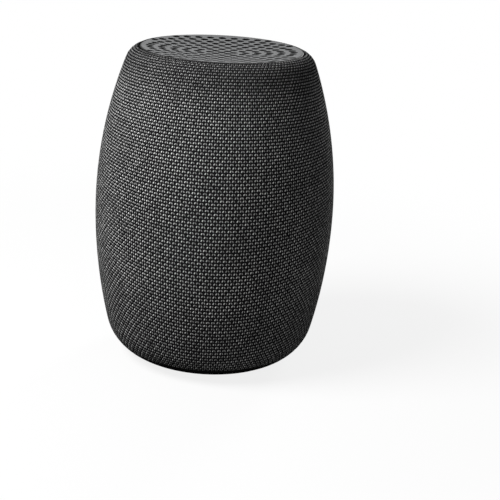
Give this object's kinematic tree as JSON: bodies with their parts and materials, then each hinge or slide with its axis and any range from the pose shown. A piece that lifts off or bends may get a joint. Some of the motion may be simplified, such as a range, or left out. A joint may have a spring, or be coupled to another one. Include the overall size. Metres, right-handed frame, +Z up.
{
  "type": "smart speaker",
  "caption": "Barrel-shaped fabric-wrapped smart speaker with a shallow perforated grey dish on top, a rear control strip and a rubber foot.",
  "frame": {"origin": "centre of the foot's underside, on the surface the speaker stands on", "axes": "+Z up along the barrel's axis, +Y to the rear (control strip and power inlet), +X to the speaker's left as seen from the rear, right in a view from the front"},
  "size_m": [0.12, 0.12, 0.1577],
  "materials": {
    "fabric_wrap": "charcoal woven polyester, plain weave",
    "shell_plastic": "matt black moulded",
    "base_plastic": "matt black, fine spark texture",
    "dish_plastic": "matt mid grey moulded",
    "screen_cloth": "fine black acoustic mesh",
    "foot_rubber": "soft black silicone",
    "black_steel": "black zinc",
    "circuit_board": "green solder mask",
    "metal_can": "tinned steel",
    "led_lens": "clear to white moulded lens",
    "core_plastic": "dark grey glass-filled",
    "gasket_foam": "closed-cell foam",
    "basket_steel": "black powder coat",
    "zinc_steel": "zinc plated",
    "ferrite": "ground ferrite",
    "copper_wire": "enamelled winding on a former",
    "spider_cloth": "impregnated cloth",
    "cone_film": "filled polypropylene",
    "surround_rubber": "butyl rubber",
    "connector_plastic": "black nylon",
    "contact_brass": "tinned brass",
    "lead_insulation": "silicone insulation",
    "radiator_alloy": "satin",
    "chip_epoxy": "moulded epoxy",
    "capacitor_sleeve": "shrink sleeve",
    "heat_sink_alloy": "black anodised",
    "antenna_film": "polyimide film",
    "switch_body": "black nylon",
    "inlet_steel": "bright nickel",
    "button_plastic": "matt black with a pressed mark"
  },
  "bodies": {
    "housing": {"fabric_sleeve": "fabric_wrap", "grille_shell": "shell_plastic", "base_plate": "base_plastic", "foot_ring": "foot_rubber", "base_screws": "black_steel", "top_dish": "dish_plastic", "dust_screen": "screen_cloth", "top_frame": "shell_plastic", "mic_board": "circuit_board", "microphones": "metal_can", "status_leds": "led_lens", "mic_board_screws": "black_steel", "waveguide": "shell_plastic", "core_screws": "black_steel", "enclosure_lid": "core_plastic", "enclosure_gasket": "gasket_foam", "enclosure_body": "core_plastic", "driver_basket": "basket_steel", "driver_top_plate": "zinc_steel", "driver_magnet": "ferrite", "driver_yoke": "zinc_steel", "driver_spider": "spider_cloth", "driver_surround": "surround_rubber", "driver_gasket": "gasket_foam", "driver_screws": "black_steel", "terminal_strip": "connector_plastic", "terminal_tabs": "contact_brass", "driver_leads": "lead_insulation", "lead_connector": "connector_plastic", "lead_grommet": "foot_rubber", "radiator_screws": "black_steel", "radiator_frame_left": "core_plastic", "radiator_frame_right": "core_plastic", "radiator_surround_left": "surround_rubber", "radiator_surround_right": "surround_rubber", "chassis": "core_plastic", "chassis_screws": "black_steel", "main_board": "circuit_board", "board_screws": "black_steel", "board_chips": "chip_epoxy", "board_capacitors": "capacitor_sleeve", "shield_can": "metal_can", "heat_sink": "heat_sink_alloy", "antenna": "antenna_film", "rear_panel": "base_plastic", "port_board": "circuit_board", "port_screws": "black_steel", "tact_switches": "switch_body", "power_inlet": "inlet_steel", "inlet_tongue": "connector_plastic"},
    "driver_motion": {"driver_cone": "cone_film", "dust_cap": "cone_film", "voice_coil": "copper_wire"},
    "radiator_left": {"radiator_diaphragm_left": "radiator_alloy", "radiator_weight_left": "zinc_steel"},
    "radiator_right": {"radiator_diaphragm_right": "radiator_alloy", "radiator_weight_right": "zinc_steel"},
    "volume_down": {"volume_down_button": "button_plastic"},
    "volume_up": {"volume_up_button": "button_plastic"},
    "mute": {"mute_button": "button_plastic"}
  },
  "joints": [
    {"name": "driver_stroke", "type": "slide", "parent": "housing", "child": "driver_motion", "axis": [0, 0, 1], "range_m": [-0.003, 0.003], "stiffness_N_per_m": 1400, "deforming": ["driver_surround", "driver_spider"]},
    {"name": "radiator_left_stroke", "type": "slide", "parent": "housing", "child": "radiator_left", "axis": [-1, 0, 0], "range_m": [-0.0025, 0.0025], "stiffness_N_per_m": 1500, "deforming": ["radiator_surround_left"]},
    {"name": "radiator_right_stroke", "type": "slide", "parent": "housing", "child": "radiator_right", "axis": [1, 0, 0], "range_m": [-0.0025, 0.0025], "stiffness_N_per_m": 1500, "deforming": ["radiator_surround_right"]},
    {"name": "volume_down_press", "type": "slide", "parent": "housing", "child": "volume_down", "axis": [0, -1, 0], "range_m": [0, 0.0006], "stiffness_N_per_m": 900},
    {"name": "volume_up_press", "type": "slide", "parent": "housing", "child": "volume_up", "axis": [0, -1, 0], "range_m": [0, 0.0006], "stiffness_N_per_m": 900},
    {"name": "mute_press", "type": "slide", "parent": "housing", "child": "mute", "axis": [0, -1, 0], "range_m": [0, 0.0006], "stiffness_N_per_m": 900}
  ]
}
